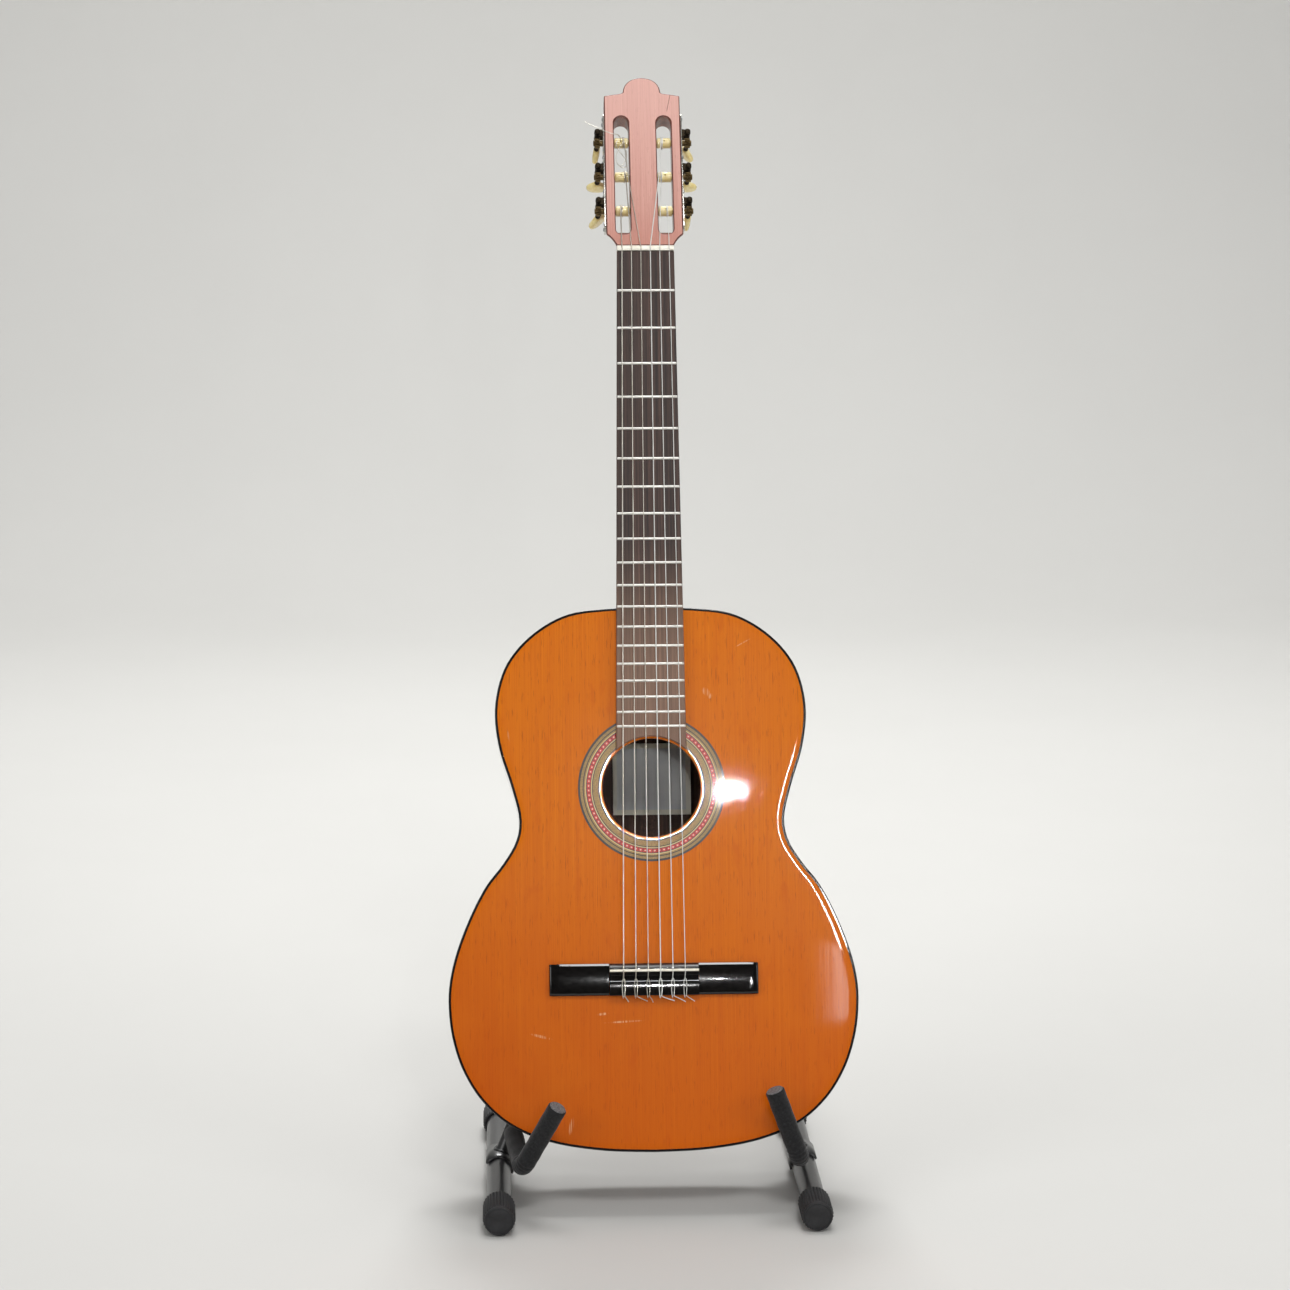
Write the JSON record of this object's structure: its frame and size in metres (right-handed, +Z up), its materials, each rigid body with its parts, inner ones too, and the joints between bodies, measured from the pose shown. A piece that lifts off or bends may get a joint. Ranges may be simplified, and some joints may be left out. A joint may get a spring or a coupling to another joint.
{
  "type": "guitar on stand",
  "caption": "Slotted-head classical guitar resting in a folding tubular A-frame floor stand with foam-sleeved cradle arms and rubber-capped floor tubes.",
  "frame": {"origin": "on the floor, under the middle of the whole object's box", "axes": "+Z up; -Y is the front, the way the soundboard faces; +X is the right-hand side seen from the front"},
  "size_m": [0.366, 0.3808, 0.9946],
  "materials": {
    "top": "high gloss orange lacquer over straight spruce grain",
    "rib_wood": "gloss dark mahogany",
    "neck_wood": "satin mahogany",
    "head_face": "satin pinkish-brown veneer",
    "rosewood": "open-pored dark rosewood",
    "binding": "black gloss",
    "bridge_black": "black gloss lacquer",
    "bone": "cream, lightly polished",
    "ivory_plastic": "aged ivory",
    "inlay": "marquetry rings, olive tan, black and dark red",
    "raw_spruce": "bare sawn spruce",
    "paper": "blank paper",
    "nylon": "clear nylon",
    "wound_string": "silver-plated winding",
    "plated_steel": "bright plate",
    "worm_steel": "blackened worm, brass thread",
    "gloss_tube": "glossy dark grey",
    "black_paint": "semi-matte black",
    "rubber": "ribbed rubber",
    "foam": "closed-cell foam",
    "rivet_steel": "zinc plate"
  },
  "bodies": {
    "left_frame": {"floor_tube_left": "gloss_tube", "floor_cap_front_left": "rubber", "floor_cap_rear_left": "rubber", "upright_left": "black_paint", "cradle_arm_left": "black_paint", "cradle_sleeve_left": "foam", "back_sleeve_left": "foam", "hinge_lug_left": "black_paint", "hinge_rivet": "rivet_steel"},
    "right_frame": {"floor_tube_right": "gloss_tube", "floor_cap_front_right": "rubber", "floor_cap_rear_right": "rubber", "upright_right": "black_paint", "cradle_arm_right": "black_paint", "cradle_sleeve_right": "foam", "back_sleeve_right": "foam", "hinge_lug_right": "black_paint"},
    "guitar": {"soundboard": "top", "rosette": "inlay", "back_panel": "rib_wood", "side_ribs": "rib_wood", "front_binding": "binding", "back_binding": "binding", "front_bracing": "raw_spruce", "back_bracing": "raw_spruce", "neck_block": "neck_wood", "tail_block": "neck_wood", "label": "paper", "bridge": "bridge_black", "saddle": "bone", "neck": "neck_wood", "head_veneer": "head_face", "fingerboard": "rosewood", "nut": "bone", "tuner_plate_left": "plated_steel", "tuner_plate_right": "plated_steel", "string_1": "wound_string", "string_2": "wound_string", "string_3": "wound_string", "string_4": "nylon", "string_5": "nylon", "string_6": "nylon"},
    "tuner_left_1": {"worm_shaft_left_1": "worm_steel", "tuner_button_left_1": "ivory_plastic"},
    "roller_left_1": {"string_roller_left_1": "ivory_plastic"},
    "tuner_left_2": {"worm_shaft_left_2": "worm_steel", "tuner_button_left_2": "ivory_plastic"},
    "roller_left_2": {"string_roller_left_2": "ivory_plastic"},
    "tuner_left_3": {"worm_shaft_left_3": "worm_steel", "tuner_button_left_3": "ivory_plastic"},
    "roller_left_3": {"string_roller_left_3": "ivory_plastic"},
    "tuner_right_1": {"worm_shaft_right_1": "worm_steel", "tuner_button_right_1": "ivory_plastic"},
    "roller_right_1": {"string_roller_right_1": "ivory_plastic"},
    "tuner_right_2": {"worm_shaft_right_2": "worm_steel", "tuner_button_right_2": "ivory_plastic"},
    "roller_right_2": {"string_roller_right_2": "ivory_plastic"},
    "tuner_right_3": {"worm_shaft_right_3": "worm_steel", "tuner_button_right_3": "ivory_plastic"},
    "roller_right_3": {"string_roller_right_3": "ivory_plastic"}
  },
  "joints": [
    {"name": "right_frame_fold", "type": "hinge", "parent": "left_frame", "child": "right_frame", "pos_m": [0, 0.05013, 0.32256], "axis": [0, 1, 0], "range_deg": [0, 32]},
    {"name": "guitar_lift", "type": "slide", "parent": "left_frame", "child": "guitar", "axis": [0, 0.2706, 0.9627], "range_m": [0, 0.12]},
    {"name": "tuner_left_1_turn", "type": "hinge", "parent": "guitar", "child": "tuner_left_1", "pos_m": [-0.0416, 0.11599, 0.88169], "axis": [0, -0.8599, 0.5105], "continuous": true},
    {"name": "roller_left_1_turn", "type": "hinge", "parent": "guitar", "child": "roller_left_1", "pos_m": [-0.02, 0.11211, 0.87516], "axis": [1, 0, 0], "continuous": true},
    {"name": "tuner_left_2_turn", "type": "hinge", "parent": "guitar", "child": "tuner_left_2", "pos_m": [-0.0416, 0.13386, 0.91178], "axis": [0, -0.8599, 0.5105], "continuous": true},
    {"name": "roller_left_2_turn", "type": "hinge", "parent": "guitar", "child": "roller_left_2", "pos_m": [-0.02, 0.12998, 0.90525], "axis": [1, 0, 0], "continuous": true},
    {"name": "tuner_left_3_turn", "type": "hinge", "parent": "guitar", "child": "tuner_left_3", "pos_m": [-0.0416, 0.15173, 0.94188], "axis": [0, -0.8599, 0.5105], "continuous": true},
    {"name": "roller_left_3_turn", "type": "hinge", "parent": "guitar", "child": "roller_left_3", "pos_m": [-0.02, 0.14785, 0.93534], "axis": [1, 0, 0], "continuous": true},
    {"name": "tuner_right_1_turn", "type": "hinge", "parent": "guitar", "child": "tuner_right_1", "pos_m": [0.0416, 0.11599, 0.88169], "axis": [0, -0.8599, 0.5105], "continuous": true},
    {"name": "roller_right_1_turn", "type": "hinge", "parent": "guitar", "child": "roller_right_1", "pos_m": [0.02, 0.11211, 0.87516], "axis": [1, 0, 0], "continuous": true},
    {"name": "tuner_right_2_turn", "type": "hinge", "parent": "guitar", "child": "tuner_right_2", "pos_m": [0.0416, 0.13386, 0.91178], "axis": [0, -0.8599, 0.5105], "continuous": true},
    {"name": "roller_right_2_turn", "type": "hinge", "parent": "guitar", "child": "roller_right_2", "pos_m": [0.02, 0.12998, 0.90525], "axis": [1, 0, 0], "continuous": true},
    {"name": "tuner_right_3_turn", "type": "hinge", "parent": "guitar", "child": "tuner_right_3", "pos_m": [0.0416, 0.15173, 0.94188], "axis": [0, -0.8599, 0.5105], "continuous": true},
    {"name": "roller_right_3_turn", "type": "hinge", "parent": "guitar", "child": "roller_right_3", "pos_m": [0.02, 0.14785, 0.93534], "axis": [1, 0, 0], "continuous": true}
  ],
  "couplings": [
    {"joint": "roller_left_1_turn", "follows": "tuner_left_1_turn", "ratio": 0.071429},
    {"joint": "roller_left_2_turn", "follows": "tuner_left_2_turn", "ratio": 0.071429},
    {"joint": "roller_left_3_turn", "follows": "tuner_left_3_turn", "ratio": 0.071429},
    {"joint": "roller_right_1_turn", "follows": "tuner_right_1_turn", "ratio": -0.071429},
    {"joint": "roller_right_2_turn", "follows": "tuner_right_2_turn", "ratio": -0.071429},
    {"joint": "roller_right_3_turn", "follows": "tuner_right_3_turn", "ratio": -0.071429}
  ]
}
